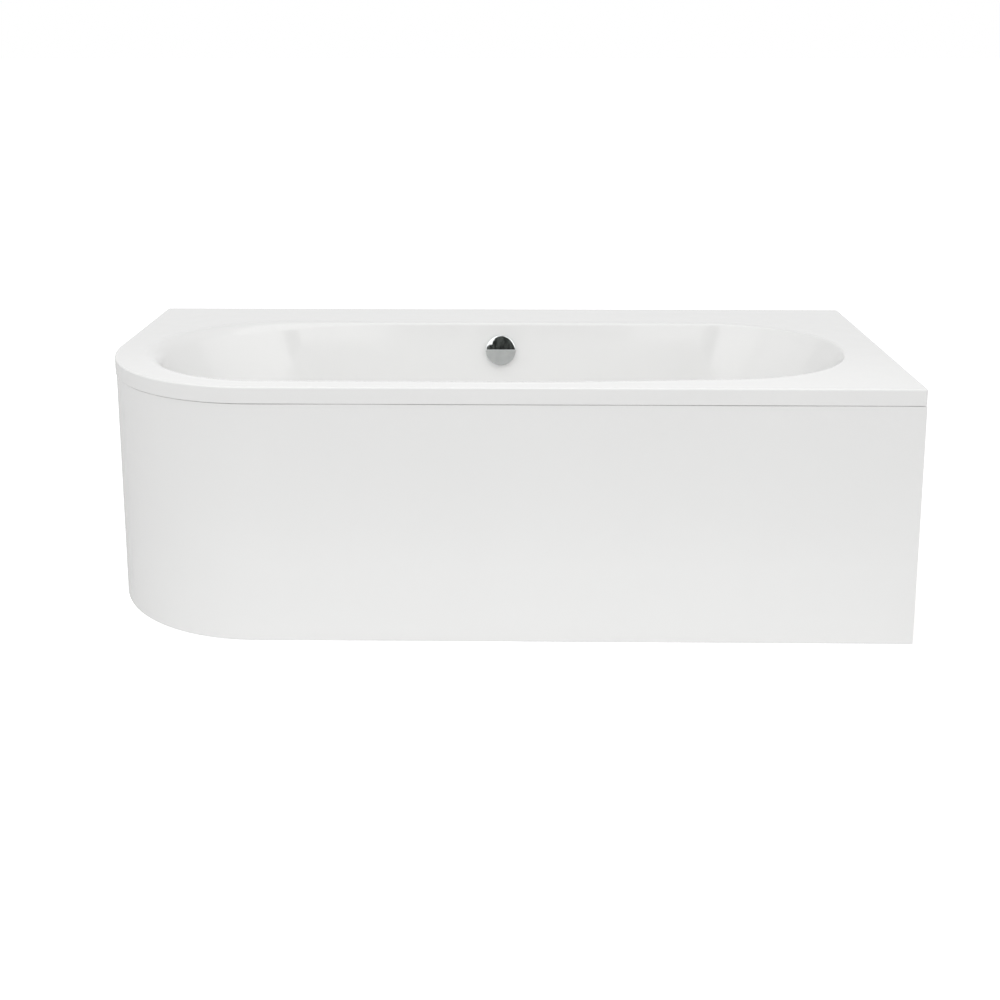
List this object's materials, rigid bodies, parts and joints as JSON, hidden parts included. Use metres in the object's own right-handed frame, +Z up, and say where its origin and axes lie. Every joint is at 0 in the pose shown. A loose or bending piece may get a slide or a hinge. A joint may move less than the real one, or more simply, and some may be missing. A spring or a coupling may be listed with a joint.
{
  "type": "corner bathtub",
  "caption": "Back-to-wall corner bathtub with an oval basin, one large rounded corner, a wrap-round apron panel, levelling feet and a turning overflow knob that lifts the plug.",
  "frame": {"origin": "on the floor, under the middle of the bath's 1700 x 750 mm rectangle", "axes": "+Z up; +Y towards the long wall, so the panelled front faces -Y; +X towards the short wall, so the large rounded corner is at -X, -Y"},
  "size_m": [1.7, 0.75, 0.54],
  "materials": {
    "white_acrylic": "high gloss, formed sheet",
    "panel_acrylic": "high gloss",
    "fibreglass": "rough chopped-strand resin",
    "chipboard": "raw pressed chips, sealed with resin at the edge",
    "softwood": "sawn",
    "galvanised_steel": "galvanised",
    "zinc_fixings": "bright zinc",
    "foot_plastic": "fine moulded grain",
    "magnet_block": "moulded",
    "chrome": "polished",
    "brass_shaft": "turned",
    "white_plastic": "moulded",
    "hose_plastic": "moulded, flexible",
    "nut_plastic": "moulded",
    "black_rubber": "soft",
    "cable_casing": "extruded",
    "steel_wire": "stranded",
    "grey_acetal": "moulded"
  },
  "bodies": {
    "bath": {"acrylic_shell": "white_acrylic", "apron_panel": "panel_acrylic", "base_board": "chipboard", "cable_clips": "nut_plastic", "cable_sheath": "cable_casing", "cable_wire": "steel_wire", "centre_foot_bracket": "galvanised_steel", "cradle_left": "galvanised_steel", "cradle_right": "galvanised_steel", "drain_body": "white_plastic", "drain_flange": "chrome", "drain_gasket": "black_rubber", "fibreglass_backing": "fibreglass", "floor_brackets": "galvanised_steel", "hose_nut_lower": "nut_plastic", "hose_nut_upper": "nut_plastic", "lever_pin": "zinc_fixings", "lock_nuts": "zinc_fixings", "outlet_nut": "nut_plastic", "outlet_pipe": "white_plastic", "overflow_body": "white_plastic", "overflow_faceplate": "chrome", "overflow_gasket": "black_rubber", "overflow_hose": "hose_plastic", "overflow_screws": "zinc_fixings", "panel_clips": "galvanised_steel", "panel_magnets": "magnet_block", "panel_stiffeners": "softwood", "rim_batten_back": "softwood", "rim_batten_front": "softwood", "rim_batten_left": "softwood", "rim_batten_right": "softwood", "trap_cup": "white_plastic", "trap_dip_pipe": "white_plastic", "trap_lid": "nut_plastic", "wall_bracket_back_left": "galvanised_steel", "wall_bracket_back_right": "galvanised_steel", "wall_bracket_side": "galvanised_steel", "weld_nuts": "zinc_fixings", "wood_screws": "zinc_fixings"},
    "overflow_knob": {"overflow_knob": "chrome", "overflow_spindle": "brass_shaft"},
    "cable_end": {"cable_end": "grey_acetal"},
    "lift_lever": {"lift_lever": "grey_acetal"},
    "plug": {"plug_cap": "chrome", "plug_seal": "black_rubber", "plug_stem": "brass_shaft"},
    "foot_front_left": {"foot_stud_front_left": "zinc_fixings", "foot_pad_front_left": "foot_plastic"},
    "foot_front_right": {"foot_stud_front_right": "zinc_fixings", "foot_pad_front_right": "foot_plastic"},
    "foot_back_left": {"foot_stud_back_left": "zinc_fixings", "foot_pad_back_left": "foot_plastic"},
    "foot_back_right": {"foot_stud_back_right": "zinc_fixings", "foot_pad_back_right": "foot_plastic"},
    "foot_centre": {"foot_stud_centre": "zinc_fixings", "foot_pad_centre": "foot_plastic"}
  },
  "joints": [
    {"name": "knob_turn", "type": "hinge", "parent": "bath", "child": "overflow_knob", "pos_m": [0, 0.19583, 0.47625], "axis": [0, 0.9877, -0.1561], "range_deg": [0, 80.97]},
    {"name": "cable_pull", "type": "slide", "parent": "bath", "child": "cable_end", "axis": [-1, 0, 0], "range_m": [0, 0.00936]},
    {"name": "lever_rock", "type": "hinge", "parent": "bath", "child": "lift_lever", "pos_m": [-0.017, 0.05, 0.078], "axis": [0, -1, 0], "range_deg": [0, 34.01]},
    {"name": "plug_lift", "type": "slide", "parent": "bath", "child": "plug", "axis": [0, 0, 1], "range_m": [0, 0.00994]},
    {"name": "foot_front_left_height", "type": "slide", "parent": "bath", "child": "foot_front_left", "axis": [0, 0, -1], "range_m": [-0.01, 0.01]},
    {"name": "foot_front_right_height", "type": "slide", "parent": "bath", "child": "foot_front_right", "axis": [0, 0, -1], "range_m": [-0.01, 0.01]},
    {"name": "foot_back_left_height", "type": "slide", "parent": "bath", "child": "foot_back_left", "axis": [0, 0, -1], "range_m": [-0.01, 0.01]},
    {"name": "foot_back_right_height", "type": "slide", "parent": "bath", "child": "foot_back_right", "axis": [0, 0, -1], "range_m": [-0.01, 0.01]},
    {"name": "foot_centre_height", "type": "slide", "parent": "bath", "child": "foot_centre", "axis": [0, 0, -1], "range_m": [-0.01, 0.01]}
  ],
  "couplings": [
    {"joint": "cable_pull", "follows": "knob_turn", "m_per_rad": 0.00662},
    {"joint": "lever_rock", "follows": "knob_turn", "ratio": 0.41988},
    {"joint": "plug_lift", "follows": "knob_turn", "m_per_rad": 0.0070337}
  ]
}
